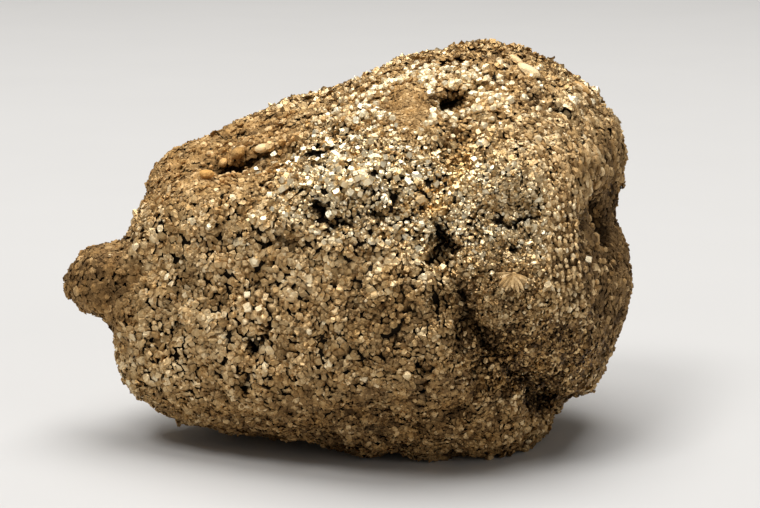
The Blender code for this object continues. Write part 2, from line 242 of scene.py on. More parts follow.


# the valley between the front and the right lobe: its line, how far the lobe drops below the front's edge
# in mm and how far that reaches, how much the edge itself stands up, how much painted shade darkens the foot
# of the drop, where the wall begins, and how the line wavers
valley = dict(line=((5.7, 2.6), (7.4, 0.3), (7.2, -2.0), (8.2, -4.3), (8.5, -6.4), (9.8, -7.9), (11.1, -9.7),
                    (13.0, -11.6), (14.2, -13.8), (17.9, -16.7), (20.0, -18.4)),
              drop=0.65, reach=2.2, edge=0.40, edgeAt=1.0, edgeWidth=1.0, paintedShade=0.25, paintedShadeWidth=1.1,
              wallAt=0.35, wallWidth=0.9, waver=((1.3, 0.4),))


def valleyDepth(view):                   # mm down, and 0 to 1 for how much painted shade
    v, near = valley, frontShare(view)
    off, side = lineOff(view[:, :2], v["line"])
    across = off * side + ripples(view, v["waver"])
    wall = np.clip((across + v["wallAt"]) / v["wallWidth"], 0, 1)
    below = np.exp(-(np.maximum(across, 0) / v["reach"]) ** 2)
    edge = np.exp(-((across + v["edgeAt"]) / v["edgeWidth"]) ** 2)
    down = v["drop"] * wall * below - v["edge"] * edge
    # painted shade at the foot of the drop
    paintedShade = v["paintedShade"] * wall * np.exp(-(across / v["paintedShadeWidth"]) ** 2)
    return down * near, paintedShade * near


# larger crystals on the front: place and size in mm, how long for their width and which way that
# runs, in degrees from right towards up; then the same finish as the zones. A "lit" one is a cut cube
# turned so that a face catches the key light; bits breaks a crystal up into that many
largeCrystals = {
    "front cluster": dict(at=(-14.0, -6.1), size=1.60, long=1.25, turn=15, bits=3, shape="lit", fresh=0.90,
                          gold=0.08, shine=0.35),
    "front cluster left": dict(at=(-14.7, -4.6), size=0.85, long=1.3, turn=10, shape="lit", fresh=0.85,
                               gold=0.08, shine=0.35),
    "front cluster right": dict(at=(-12.9, -4.7), size=1.15, long=1.1, bits=2, shape="lit", fresh=0.80,
                                gold=0.25, shine=0.35),
    "front cluster low": dict(at=(-13.2, -7.4), size=1.0, turn=50, shape="lump", fresh=0.62, gold=0.20,
                              shine=0.60),
    "front boss": dict(at=(-14.0, -1.1), size=1.3, turn=30, shape="lump", fresh=0.62, gold=0.10,
                       shine=0.50),
    "centre crystal": dict(at=(-5.3, 7.4), size=1.3, long=1.1, turn=60, shape="lump", fresh=1.00,
                           shine=0.90),
    "centre crystal right": dict(at=(-4.4, 6.8), size=0.95, turn=15, shape="lit", fresh=0.95, shine=0.90),
    "pit crystal": dict(at=(-5.9, 3.7), size=0.95, long=1.3, turn=-40, shape="lit", fresh=1.00, shine=0.90),
    "pit crystal right": dict(at=(-5.0, 4.7), size=0.8, shape="cut", fresh=0.95, shine=0.80),
    "slope crystal": dict(at=(-18.9, 2.9), size=0.75, long=1.4, turn=60, shape="lit", fresh=0.80, gold=0.05,
                          shine=0.80),
    "crown crystal": dict(at=(7.4, 15.6), size=0.75, shape="lit", fresh=1.00, shine=0.90),
    "crown pair": dict(at=(13.0, 20.4), size=0.7, shape="lump", fresh=1.00, gold=0.05, shine=0.80),
    "crown pair right": dict(at=(14.1, 20.2), size=0.8, shape="lump", fresh=1.00, gold=0.05, shine=0.80),
    "crown bead": dict(at=(18.5, 21.8), size=0.8, shape="lump", fresh=1.00, gold=0.05, shine=0.70),
    "pale grain": dict(at=(17.5, 21.2), size=2.3, long=1.9, turn=-60, shape="pebble", fresh=0.92, gold=0.30,
                       shine=0.05),
    "pale grain left": dict(at=(16.1, 22.9), size=1.5, long=2.2, turn=-75, shape="pebble", fresh=0.88,
                            gold=0.30, shine=0.05),
    "rim grain": dict(at=(23.9, 20.0), size=1.7, long=1.9, turn=-25, shape="pebble", fresh=0.75, gold=0.60,
                      shine=0.10),
    "low crystal": dict(at=(2.9, -13.5), size=1.0, shape="lump", fresh=0.66, gold=0.20, shine=0.60),
    "shoulder crystal": dict(at=(22.4, 17.9), size=1.25, long=2.3, turn=85, shape="pebble", fresh=0.95,
                             gold=0.10, shine=0.50),
    "shoulder bead": dict(at=(25.0, 17.9), size=1.0, long=1.1, shape="lump", fresh=0.85, gold=0.15,
                          shine=0.60),
    "lobe crystal": dict(at=(23.4, -0.4), size=0.95, shape="lit", fresh=0.70, gold=0.15, shine=0.60),
    "lobe crystal low": dict(at=(24.4, -1.6), size=1.1, long=1.1, shape="lump", fresh=0.70, gold=0.25,
                             shine=0.50),
    "plate crystal": dict(at=(18.4, -3.1), size=0.9, long=1.1, turn=20, shape="lit", fresh=0.60, gold=0.10,
                          shine=0.70),
    "gash ledge": dict(at=(-16.1, 11.6), size=1.6, long=1.2, turn=15, shape="pebble", fresh=0.52, gold=0.55,
                       shine=0.15),
    "gash ledge middle": dict(at=(-13.9, 12.2), size=1.5, long=1.5, turn=5, shape="pebble", fresh=0.82,
                              gold=0.30, shine=0.15),
    "gash ledge right": dict(at=(-12.7, 12.0), size=1.3, long=1.2, turn=40, shape="lump", fresh=0.72,
                             gold=0.45, shine=0.30),
    "gash ledge end": dict(at=(-11.2, 12.9), size=1.0, long=1.1, turn=25, shape="lump", fresh=0.55,
                           gold=0.55, shine=0.20),
    "gash corner": dict(at=(-18.5, 10.3), size=1.1, turn=-30, shape="pebble", fresh=0.66, gold=0.55,
                        shine=0.20),
    "gash foot": dict(at=(-19.6, 9.2), size=1.6, long=1.2, turn=-30, shape="pebble", fresh=0.42, gold=0.95,
                      shine=0.20),
}
usualCrystal = dict(long=1.0, turn=0, gold=0.0)    # for a crystal that says nothing else
largeCrystals = {name: usualCrystal | c for name, c in largeCrystals.items()}
keptOff = dict(share=0.42, back=0.6)    # how far a crystal keeps the grains off, for its size
crystalDepths = {}           # how far back each crystal stands, filled in with the body


def underCrystal(view):                  # true where a larger crystal stands, so that no grain goes there
    hidden = np.zeros(len(view), bool)
    for name, c in largeCrystals.items():
        angle, half = math.radians(c["turn"]), keptOff["share"] * c["size"]
        back = keptOff["back"] * (view[:, 2] - crystalDepths[name]) / half
        off = view[:, :2] - c["at"]
        along = (off @ (math.cos(angle), math.sin(angle))) / (half * math.sqrt(c["long"]))
        across = (off @ (-math.sin(angle), math.cos(angle))) / (half / math.sqrt(c["long"]))
        hidden |= along ** 2 + across ** 2 + back ** 2 < 1
    return hidden


stains = {"crown stain": ((8.8, 10.8), (2.6, 4.6)), "throat stain": ((5.8, 5.4), (2.4, 2.2))}
patchFade = 1.6              # how fast a stain or a patch of beads thins out


def stainShare(view):
    share = np.zeros(len(view))
    for at, reach in stains.values():
        share = np.maximum(share, np.exp(-patchFade * offPatch(view, at, reach)) * frontShare(view))
    return share


# ---- mesh helpers
def addPiece(name, mesh, material):
    piece = bpy.data.objects.new(name, mesh)
    bpy.context.scene.collection.objects.link(piece)
    mesh.materials.clear()
    mesh.materials.append(material)
    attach(piece, "root")
    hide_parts("pyrite_lump")
    return piece


def vertexVectors(mesh, key):
    values = np.empty(len(mesh.vertices) * 3)
    mesh.vertices.foreach_get(key, values)
    return values.reshape(-1, 3)


def meshOf(name, coords, tris):
    mesh = bpy.data.meshes.new(name)
    mesh.vertices.add(len(coords))
    mesh.vertices.foreach_set("co", coords.ravel())
    mesh.loops.add(tris.size)
    mesh.loops.foreach_set("vertex_index", tris.ravel().astype(np.int32))
    mesh.polygons.add(len(tris))
    mesh.polygons.foreach_set("loop_start", np.arange(0, tris.size, 3, dtype=np.int32))
    mesh.update(calc_edges=True)
    mesh.shade_flat()
    return mesh


# ---- the body of the lump, in mm until it is made
# relief is noise of three sizes with their heights; reliefLeast of it stays where the joints are closed,
# and it dies out over footFade at the shelf
bodySettings = dict(voxel=0.42, smoothFactor=0.5, smoothRounds=22, inset=0.42, lower=0.06,
                    relief=((3.6, 0.50), (1.8, 0.36), (0.8, 0.14)), reliefLeast=0.5, footFade=1.2,
                    cavityRounds=90, cavityStep=0.6)


def aboveFoot(heights):                  # 0 on the shelf, up to 1 a little above it
    return np.clip(heights / bodySettings["footFade"], 0, 1)


def makeBody():
    s = bodySettings
    rough = bpy.data.objects.new("roughBody", lump.data.copy())
    bpy.context.scene.collection.objects.link(rough)
    remesh = rough.modifiers.new("Remesh", "REMESH")
    remesh.mode, remesh.voxel_size = "VOXEL", s["voxel"] * mm
    smooth = rough.modifiers.new("Smooth", "SMOOTH")
    smooth.factor, smooth.iterations = s["smoothFactor"], s["smoothRounds"]
    mesh = bpy.data.meshes.new_from_object(rough.evaluated_get(bpy.context.evaluated_depsgraph_get()))
    bpy.data.objects.remove(rough)
    coords, normals = vertexVectors(mesh, "co"), vertexVectors(mesh, "normal")
    view = viewOf(coords)
    laidLines.update(holeLines(view))
    crystalDepths.update({name: view[frontAt(view, *c["at"])[0], 2] for name, c in largeCrystals.items()})
    down = holeDepth(view)[0] + valleyDepth(view)[0] - swellHeight(view)
    places = coords / mm
    lift = ripples(places, s["relief"]) * ruggedAt(view, s["reliefLeast"]) - down - s["lower"]
    lift *= aboveFoot(places[:, 2])
    shaped = places + normals * lift[:, None]
    return mesh, shaped, normals, cavityOf(mesh, shaped, normals)


def cavityOf(mesh, shaped, normals):     # mm below the surface averaged over a few mm around
    ends = np.empty(len(mesh.edges) * 2, np.int32)
    mesh.edges.foreach_get("vertices", ends)
    a, b = ends.reshape(-1, 2).T
    count, step = len(shaped), bodySettings["cavityStep"]
    neighbours = np.bincount(ends, minlength=count)[:, None]
    average = shaped.copy()
    for _ in range(bodySettings["cavityRounds"]):
        total = np.stack([np.bincount(a, average[b, i], count) + np.bincount(b, average[a, i], count)
                          for i in range(3)], 1)
        average = (1 - step) * average + step * total / neighbours
    return ((average - shaped) * normals).sum(1)


bodyMesh, surface, surfaceNormals, surfaceCavity = makeBody()
surfaceView = viewOf(surface * mm)
print("body", len(bodyMesh.polygons), "faces")

# ---- where the grains sit: closely packed, larger ones placed first
# spread and sizes say how far grains differ in size, closest how near two may sit for their sizes. None
# sits under lowest or where a hole's painted shade is above shadiest, and they are coarser where the lump
# rests
grainSettings = dict(candidates=330000, seed=5, spread=0.34, sizes=(0.55, 1.6), shuffle=(0.5, 1.5),
                     closest=0.84, search=1.25, lowest=0.35, shadiest=0.75,
                     restingBelow=3, restingFacing=-0.8, restingGrain=1.6)
# clusters of grains stand up or down by step at most and lean; cracks run open between them and small pits
# lie open, both in patches. The salts give each cluster its own lean and step
clusterSettings = dict(size=1.7, step=0.16, stepSalt=3.1, lean=0.55, leanSalt=7.3, most=0.4, least=0.25,
                       crack=0.14, crackWidth=0.5, patches=5.0, patchesAbove=-0.2, pits=0.8, pitsAbove=0.73)


def triangleTable(mesh):
    mesh.calc_loop_triangles()
    tris = np.empty(len(mesh.loop_triangles) * 3, np.int32)
    mesh.loop_triangles.foreach_get("vertices", tris)
    return tris.reshape(-1, 3)


def grainSizeAt(places, normals):        # coarser on the face that it rests on
    s = grainSettings
    resting = (places[:, 2] < s["restingBelow"]) & (normals[:, 2] < s["restingFacing"])
    return zoneValues(viewOf(places * mm), "grain") * np.where(resting, s["restingGrain"], 1)


def sampleSurface(tris, count, rng):
    a, b, c = (surface[tris[:, i]] for i in range(3))
    wanted = np.linalg.norm(np.cross(b - a, c - a), axis=1) / grainSizeAt(a, surfaceNormals[tris[:, 0]]) ** 2
    pick = rng.choice(len(tris), count, p=wanted / wanted.sum())
    s, t = rng.random(count), rng.random(count)
    flip = s + t > 1
    s, t = np.where(flip, 1 - s, s)[:, None], np.where(flip, 1 - t, t)[:, None]
    places = a[pick] + s * (b - a)[pick] + t * (c - a)[pick]
    shares = ((0, 1 - s - t), (1, s), (2, t))
    normals = sum(surfaceNormals[tris[pick, i]] * w for i, w in shares)
    cavity = sum(surfaceCavity[tris[pick, i]] * w[:, 0] for i, w in shares)
    return places, normals / np.linalg.norm(normals, axis=1)[:, None], cavity


def treeOf(places):
    tree = kdtree.KDTree(len(places))
    for i, p in enumerate(places):
        tree.insert(p, i)
    tree.balance()
    return tree


def crackedAt(places):                   # true where a crack between clusters or a pit lies open
    s = clusterSettings
    cracked = np.zeros(len(places), bool)
    widths = s["crack"] * zoneValues(viewOf(places * mm), "cracks")
    for i, place in enumerate(places):
        if noise.noise(Vector(place / s["patches"])) < s["patchesAbove"]:
            continue
        (near, far, *_), _ = noise.voronoi(Vector(place / s["size"]))
        cracked[i] = far - near < widths[i] * (s["crackWidth"] + noise.noise(Vector(place)))
        cracked[i] |= noise.noise(Vector(place / s["pits"])) > s["pitsAbove"] - widths[i]
    return cracked


def clusterLean(places, normals):        # how high each grain's cluster stands, and which way it faces
    s = clusterSettings
    steps, leans = np.empty(len(places)), np.empty((len(places), 3))
    for i, place in enumerate(places):
        _, (centre, *_) = noise.voronoi(Vector(place / s["size"]))
        leans[i] = noise.cell_vector(centre * s["leanSalt"])
        steps[i] = noise.cell(centre * s["stepSalt"]) * s["step"]
        leans[i] = (leans[i] - leans[i].mean()) * s["lean"]
        steps[i] += leans[i] @ (place - np.array(centre) * s["size"])
    rugged = ruggedAt(viewOf(places * mm), s["least"])
    leaning = normals - leans * rugged[:, None]
    return (steps * rugged).clip(-s["most"], s["most"]), leaning / np.linalg.norm(leaning, axis=1)[:, None]


def spacedGrains():
    s = grainSettings
    rng = np.random.default_rng(s["seed"])
    places, normals, cavity = sampleSurface(triangleTable(bodyMesh), s["candidates"], rng)
    view = viewOf(places * mm)
    keep = (places[:, 2] > s["lowest"]) & ~crackedAt(places)
    keep &= (holeDepth(view)[1] < s["shadiest"]) & ~underCrystal(view)
    places, normals, cavity = places[keep], normals[keep], cavity[keep]
    spread = np.exp(rng.normal(0, s["spread"], len(places))).clip(*s["sizes"])
    sizes = grainSizeAt(places, normals) * spread
    tree = treeOf(places)
    gone = np.zeros(len(places), bool)
    kept = []
    for i in np.argsort(-sizes * rng.uniform(*s["shuffle"], len(sizes))):
        if gone[i]:
            continue
        kept.append(i)
        for _, j, away in tree.find_range(places[i], sizes[i] * s["search"]):
            if away < s["closest"] * (sizes[i] + sizes[j]) / 2:
                gone[j] = True
    return places[kept], normals[kept], sizes[kept], cavity[kept], rng


grainPlaces, grainNormals, grainSizes, grainCavity, grainRng = spacedGrains()
grainTree, grainView = treeOf(grainPlaces), viewOf(grainPlaces * mm)
grainSteps, grainNormals = clusterLean(grainPlaces, grainNormals)
grainSides = np.cross(grainNormals, grainRng.normal(size=grainNormals.shape))
grainSides /= np.linalg.norm(grainSides, axis=1)[:, None]
grainFronts = np.cross(grainNormals, grainSides)
print("grains", len(grainPlaces))

# ---- the packed grains: each is clipped to its neighbours, and flat on top, rounded or peaked
# A pair gives the value on blunt grains and what sharpness adds to it; flat and rounded are the shares of
# those kinds. Edge, top and peak are rings: how high each lies and how uneven it is. Sizes are in grains
grainShape = dict(corners=7, widest=0.74, search=2.2, facing=0.1, nearest=0.05, shortest=0.12,
                  overlap=0.05, overlapClosed=0.07, wobble=(0.90, 1.06), tilt=(0.12, 0.30), tiltMost=0.6,
                  rise=(0.05, 0.07), edge=((-0.12, -0.08), (0.05, 0.05)), top=((0.03, 0), (0.04, 0.08)),
                  topWidth=(0.45, 0.85), topSkew=0.05, peak=((0.10, 0), (0.05, 0.05)), peakAside=0.24,
                  root=0.85, flat=(0.12, 0.26), rounded=(0.34, -0.24))
grainOverlaps = grainShape["overlap"] + grainShape["overlapClosed"] * (1 - ruggedAt(grainView, 0))


def sharpened(pair, sharp):
    return pair[0] + pair[1] * sharp


def clipped(outline, x, y, reach):       # keeps the part of the outline on the near side of a line
    out = []
    for (ax, ay), (bx, by) in zip(outline, outline[1:] + outline[:1]):
        da, db = ax * x + ay * y - reach, bx * x + by * y - reach
        if da <= 0:
            out.append((ax, ay))
        if (da < 0) != (db < 0) and da != db:
            t = da / (da - db)
            out.append((ax + t * (bx - ax), ay + t * (by - ay)))
    return out


def grainOutline(i):                     # the grain's edge, halfway to each neighbour, in its own flat axes
    s, size, place = grainShape, grainSizes[i], grainPlaces[i]
    corners = (k * math.tau / s["corners"] for k in range(s["corners"]))
    outline = [(s["widest"] * size * math.cos(t), s["widest"] * size * math.sin(t)) for t in corners]
    for _, j, away in grainTree.find_range(place, size * s["search"]):
        if j == i or grainNormals[i] @ grainNormals[j] < s["facing"]:
            continue
        off = grainPlaces[j] - place
        x, y = off @ grainSides[i], off @ grainFronts[i]
        flat = math.hypot(x, y)
        if flat < s["nearest"]:
            continue
        reach = flat * size / (size + grainSizes[j]) + grainOverlaps[i]
        outline = clipped(outline, x / flat, y / flat, reach)
        if len(outline) < 3:
            return None
    # edges too short to see are dropped
    shortest = s["shortest"] * size
    kept = [p for p, q in zip(outline, outline[1:] + outline[:1]) if math.dist(p, q) > shortest]
    return kept if len(kept) > 2 else None


def packedFaces(n, kind):                # edge ring 0, then the top ring, the peak, and last the root
    last = {"peaked": n + 1, "flat": 2 * n, "rounded": 2 * n + 1}[kind]
    faces = [((k + 1) % n, k, last) for k in range(n)]
    if kind == "peaked":
        return np.array(faces + [(k, (k + 1) % n, n) for k in range(n)])
    for k in range(n):
        m = (k + 1) % n
        faces += [(k, m, n + m), (k, n + m, n + k)]
    if kind == "flat":
        return np.array(faces + [(n, n + k, n + k + 1) for k in range(1, n - 1)])
    return np.array(faces + [(n + k, n + (k + 1) % n, 2 * n) for k in range(n)])


def packedVerts(own, outlines, kind, sharp, rng):    # and how deep in its joints each corner lies, 0 to 1
    s, n, count = grainShape, len(outlines[0]), len(own)
    size, steep = grainSizes[own][:, None], sharp[:, None]
    edge = np.array(outlines)
    middle = edge.mean(1, keepdims=True)
    edge = middle + (edge - middle) * rng.uniform(*s["wobble"], (count, n, 1))
    tilt = rng.normal(0, 1, (count, 2)) * sharpened(s["tilt"], steep)
    tilt = tilt.clip(-s["tiltMost"], s["tiltMost"])
    rise = rng.normal(0, 1, (count, 1)) * sharpened(s["rise"], steep) * size + grainSteps[own][:, None]

    def ring(flat, pairs):
        up, wobble = (sharpened(pair, steep) for pair in pairs)
        leaning = (flat * tilt[:, None]).sum(-1)
        return np.dstack([flat, leaning + rise + (up + rng.normal(0, 1, leaning.shape) * wobble) * size])

    rings = [ring(edge, s["edge"])]
    if kind != "peaked":
        top = middle + (edge - middle) * rng.uniform(*s["topWidth"], (count, n, 1))
        top += rng.normal(0, s["topSkew"], (count, n, 2)) * size[:, :, None]
        rings.append(ring(top, s["top"]))
    if kind != "flat":
        peak = middle + rng.uniform(-s["peakAside"], s["peakAside"], (count, 1, 2)) * size[:, :, None]
        rings.append(ring(peak, s["peak"]))
    rings.append(np.concatenate([middle, (rise - s["root"] * size)[:, :, None]], 2))
    local = np.concatenate(rings, 1)
    deep = np.zeros(local.shape[1])
    deep[:n] = 1
    deep[-1] = 1
    axes = np.stack([grainSides[own], grainFronts[own], grainNormals[own]], 1)
    return np.einsum("gva,gai->gvi", local, axes) + grainPlaces[own][:, None], deep


# ---- crystals and crumbs among the packed grains, about 1 across
# a cube's half width, sides and cut corners, and a chunk's or a pebble's radius, twist and bulges
crystalShape = dict(half=0.42, sides=(0.78, 1.0), cut=(0.35, 0.85), radius=(0.44, 0.56), twist=0.5,
                    bulge=0.16, bulges=1.7, seed=7)
goldenTurn = 2.39996         # radians from one point of a spiral to the next, so that they spread evenly


def hullOf(points):
    bm = bmesh.new()
    for p in points:
        bm.verts.new(p)
    found = bmesh.ops.convex_hull(bm, input=bm.verts)
    inside = [v for v in found["geom_interior"] if isinstance(v, bmesh.types.BMVert)]
    bmesh.ops.delete(bm, geom=inside, context="VERTS")
    bmesh.ops.delete(bm, geom=[v for v in bm.verts if not v.link_faces], context="VERTS")
    bmesh.ops.triangulate(bm, faces=bm.faces[:])
    bmesh.ops.recalc_face_normals(bm, faces=bm.faces[:])
    bm.verts.index_update()
    verts = np.array([v.co[:] for v in bm.verts])
    tris = np.array([[v.index for v in f.verts] for f in bm.faces])
    bm.free()
    return verts, tris


def cutCube(pick, cuts):                 # a cube with some of its corners cut off
    s = crystalShape
    sides = [pick.uniform(*s["sides"]) * s["half"] for _ in range(3)]
    corners = [Vector((x, y, z)) for x in (-1, 1) for y in (-1, 1) for z in (-1, 1)]
    chosen = pick.sample(range(8), cuts)
    points = []
    for i, corner in enumerate(corners):
        if i not in chosen:
            points.append(corner)
            continue
        depth = pick.uniform(*s["cut"])
        for axis in range(3):
            moved = corner.copy()
            moved[axis] *= 1 - depth
            points.append(moved)
    return hullOf([(p.x * sides[0], p.y * sides[1], p.z * sides[2]) for p in points])


def spiralPoint(i, count, twist=0.0):    # one of count points spread over a ball
    height = 1 - 2 * (i + 0.5) / count
    turn, flat = i * goldenTurn + twist, math.sqrt(1 - height * height)
    return Vector((math.cos(turn) * flat, math.sin(turn) * flat, height))


def chunk(pick, count):                  # a rough lump with flat faces
    s = crystalShape
    return hullOf([spiralPoint(i, count, pick.uniform(-s["twist"], s["twist"])) * pick.uniform(*s["radius"])
                   for i in range(count)])


def pebble(count, thickness):            # a smooth flattened lump
    points = []
    for i in range(count):
        p = spiralPoint(i, count)
        p *= 0.5 * (1 + crystalShape["bulge"] * noise.noise(p * crystalShape["bulges"]))
        points.append((p.x, p.y, p.z * thickness))
    return hullOf(points)


shapePick = random.Random(crystalShape["seed"])
crystalShapes = [cutCube(shapePick, cuts) for cuts in (1, 2, 3, 2)]
crystalShapes += [chunk(shapePick, n) for n in (9, 10, 11, 12)]
crumbShapes = [chunk(shapePick, n) for n in (6, 7, 7, 8, 8, 9)]
# in grain sizes: how far the sides and the whole differ, how deep it sinks in, and how far aside it lies
crystalPlace = dict(sides=(0.85, 1.2), size=(0.85, 1.2), sink=(-0.30, -0.08))
crumbPlace = dict(sides=(0.75, 1.3), size=(0.28, 0.62), sink=(-0.10, 0.10), aside=0.32, asideMost=0.6)


def randomTurns(count, rng):
    q = rng.normal(size=(count, 4))
    w, x, y, z = (q / np.linalg.norm(q, axis=1)[:, None]).T
    rows = [1 - 2 * (y * y + z * z), 2 * (x * y - z * w), 2 * (x * z + y * w),
            2 * (x * y + z * w), 1 - 2 * (x * x + z * z), 2 * (y * z - x * w),
            2 * (x * z - y * w), 2 * (y * z + x * w), 1 - 2 * (x * x + y * y)]
    return np.stack(rows, 1).reshape(-1, 3, 3)


def turnedCopies(verts, stretch, centres, rng):
    turned = np.einsum("gij,gvj->gvi", randomTurns(len(centres), rng), verts[None] * stretch[:, None])
    return turned + centres[:, None], np.zeros(len(verts))


def crystalVerts(own, verts, rng):
    s, size, count = crystalPlace, grainSizes[own][:, None], len(own)
    stretch = rng.uniform(*s["sides"], (count, 3)) * size * rng.uniform(*s["size"], (count, 1))
    sink = rng.uniform(*s["sink"], (count, 1)) * size
    return turnedCopies(verts, stretch, grainPlaces[own] + grainNormals[own] * sink, rng)


def crumbVerts(own, verts, rng):         # small fragments anywhere on a grain or in its joints
    s, size, count = crumbPlace, grainSizes[own][:, None], len(own)
    stretch = size * rng.uniform(*s["size"], (count, 1)) * rng.uniform(*s["sides"], (count, 3))
    aside = rng.normal(0, s["aside"], (count, 2)).clip(-s["asideMost"], s["asideMost"]) * size
    centres = grainPlaces[own] + grainSides[own] * aside[:, :1] + grainFronts[own] * aside[:, 1:]
    up = rng.uniform(*s["sink"], (count, 1)) * size + grainSteps[own][:, None]
    return turnedCopies(verts, stretch, centres + grainNormals[own] * up, rng)


def strewn(owners, shapes, place, rng):
    which = rng.integers(0, len(shapes), len(owners))
    for k, (verts, faces) in enumerate(shapes):
        own = owners[which == k]
        if len(own):
            yield own, *place(own, verts, rng), faces


def grainGroups(chosen, rng):            # grains that share a shape: which, their corners, depths and faces
    view = grainView[chosen]
    sharpness = zoneValues(view, "sharp")
    sharp = dict(zip(chosen, sharpness))
    flat, rounded = (sharpened(grainShape[kind], sharpness) for kind in ("flat", "rounded"))
    draw = rng.random(len(chosen))
    kinds = np.where(draw < flat, "flat", np.where(draw < flat + rounded, "rounded", "peaked"))
    alike = {}
    for i, kind in zip(chosen, kinds):
        outline = grainOutline(i)
        if outline:
            alike.setdefault((kind, len(outline)), []).append((i, outline))
    for (kind, n), members in sorted(alike.items()):
        own = np.array([i for i, _ in members])
        outlines = [outline for _, outline in members]
        steep = np.array([sharp[i] for i in own])
        yield own, *packedVerts(own, outlines, kind, steep, rng), packedFaces(n, kind)
    standing = chosen[rng.random(len(chosen)) < zoneValues(view, "loose")]
    yield from strewn(standing, crystalShapes, crystalVerts, rng)
    crumbled = np.repeat(chosen, rng.poisson(zoneValues(view, "crumbs")))
    yield from strewn(crumbled, crumbShapes, crumbVerts, rng)


# ---- many small shapes as one piece
# cavityShading paints shade into hollows and light onto rises, over cavityReach; a stain adds stainFresh and
# stainGold; the blue channel holds painted shade from holes and the valley (shadeStrength), painted shade
# from cavities down to cavityShadeReach, and dirt from the joints, where a pair is for dull grains and what
# shine adds
finishAndShadeSettings = dict(cavityShading=0.12, cavityReach=0.5, stainFresh=0.16, stainGold=0.8,
                      shadeStrength=0.75, cavityShadeReach=1.1, cavityShadeMost=0.5, jointDirt=(0.06, 0.46))
lowestPoint = 0.02           # mm above the shelf


def finishAndShadeOf(own, deep):                 # red is fresh, green is gold, blue is painted shade and joint dirt, alpha is shine
    s, view, cavity = finishAndShadeSettings, grainView[own], grainCavity[own]
    stain, shine = stainShare(view), zoneValues(view, "shine")
    # painted shade where the surface lies below its surroundings, and painted light where it stands above
    fresh = zoneValues(view, "fresh") - s["cavityShading"] * np.clip(cavity / s["cavityReach"], -1, 1)
    fresh += s["stainFresh"] * stain
    gold = np.maximum(zoneValues(view, "gold"), s["stainGold"] * stain)
    # painted shade in holes and along the valley
    shadeAndDirt = np.maximum(holeDepth(view)[1], valleyDepth(view)[1]) * s["shadeStrength"]
    # painted shade in hollows, from the cavity
    shadeAndDirt = np.clip(shadeAndDirt + np.clip(cavity / s["cavityShadeReach"], 0, s["cavityShadeMost"]), 0, 1)
    jointDirt = sharpened(s["jointDirt"], shine)[:, None] * deep
    colour = np.repeat(np.stack([fresh, gold, shadeAndDirt, shine], 1)[:, None], len(deep), axis=1)
    colour[:, :, 2] = 1 - (1 - colour[:, :, 2]) * (1 - jointDirt)
    return colour.clip(0, 1).reshape(-1, 4)


def plainFinish(c, count, tone=0.0):     # the same finish on every corner
    return np.tile([c["fresh"] + tone, c["gold"], 0, c["shine"]], (count, 1))


def bakeCells(triCount, grainCount, first, across):
    # each grain has a square cell of the map, and each pair of its triangles a square inside it
    pairs = math.ceil(triCount / 2)
    rows = math.ceil(math.sqrt(pairs))
    step = 1 / (across * rows)
    lowUv = np.array([(0.12, 0.08), (0.92, 0.08), (0.92, 0.88)])
    highUv = np.array([(0.08, 0.12), (0.88, 0.92), (0.08, 0.92)])
    one = np.empty((triCount, 3, 2))
    for t in range(triCount):
        corner = np.array([(t // 2) % rows, (t // 2) // rows])
        one[t] = (corner + (highUv if t % 2 else lowUv)) * step
    cells = np.arange(first, first + grainCount)
    corners = np.stack([cells % across, cells // across], 1) / across
    return (corners[:, None, None] + one[None]).reshape(-1, 2)


def joinShapes(name, groups, material):  # groups: corners of each shape, their finish, and the faces
    across = math.ceil(math.sqrt(sum(len(put) for put, _, _ in groups)))
    coords, tris, uvs, finish = [], [], [], []
    start, cell = 0, 0
    for put, colour, faces in groups:
        count, corners = put.shape[:2]
        put[:, :, 2] = np.maximum(put[:, :, 2], lowestPoint)
        coords.append(put.reshape(-1, 3))
        offsets = start + np.arange(count) * corners
        tris.append((offsets[:, None, None] + faces[None]).reshape(-1, 3))
        uvs.append(bakeCells(len(faces), count, cell, across))
        finish.append(colour)
        start += count * corners
        cell += count
    mesh = meshOf(name, np.concatenate(coords) * mm, np.concatenate(tris))
    layer = mesh.uv_layers.new(name="OFBake")
    layer.uv.foreach_set("vector", np.concatenate(uvs).ravel().astype(np.float32))
    attribute = mesh.color_attributes.new("finish", "FLOAT_COLOR", "POINT")
    attribute.data.foreach_set("color", np.concatenate(finish).ravel().astype(np.float32))
    print(name, cell, "shapes", len(mesh.polygons), "triangles")
    return addPiece(name, mesh, material)


def joinGrains(name, chosen, material):
    found = grainGroups(chosen, np.random.default_rng(len(chosen)))
    return joinShapes(name, [(put, finishAndShadeOf(own, deep), faces) for own, put, deep, faces in found], material)


# ---- the fan, the larger crystals and the beads
sameFace = 1.2               # places no further back than this, in mm, say which way the front faces there
litFacing = np.array((-0.20, -0.776, 0.598))    # the way a face looks when it throws the key light forward


def frontPlace(right, up):               # the nearest point of the front at this place, and the way it faces
    front, near = frontAt(surfaceView, right, up)
    around = near[surfaceView[near, 2] < surfaceView[front, 2] + sameFace]
    facing = surfaceNormals[around].mean(0)
    return surface[front], facing / np.linalg.norm(facing)


def axesFor(facing, turn):               # the way a crystal runs on the surface, and across it, and out
    angle = math.radians(turn)
    towards = np.array([math.cos(angle), math.sin(angle) * math.sin(lean), math.sin(angle) * math.cos(lean)])
    along = towards - facing * (towards @ facing)
    along /= np.linalg.norm(along)
    return np.stack([along, np.cross(facing, along), facing])


def tipped(axes, tip):
    return np.array(Euler(tip).to_matrix()) @ axes


# a fan of thin streaked blades on the lobe, from one foot; turn and sway are in degrees, roll and pitch
# in radians, and each blade stands out mm from the surface with its middle along its length
plateFan = dict(at=(14.3, -2.0), blades=26, turn=(185, 345), sway=4, roll=0.5, pitch=0.1, length=(1.5, 2.5),
                width=0.42, thickness=0.35, corners=60, along=0.45, out=0.24,
                fresh=0.46, tones=0.12, gold=0.08, shine=0.25, seed=17)


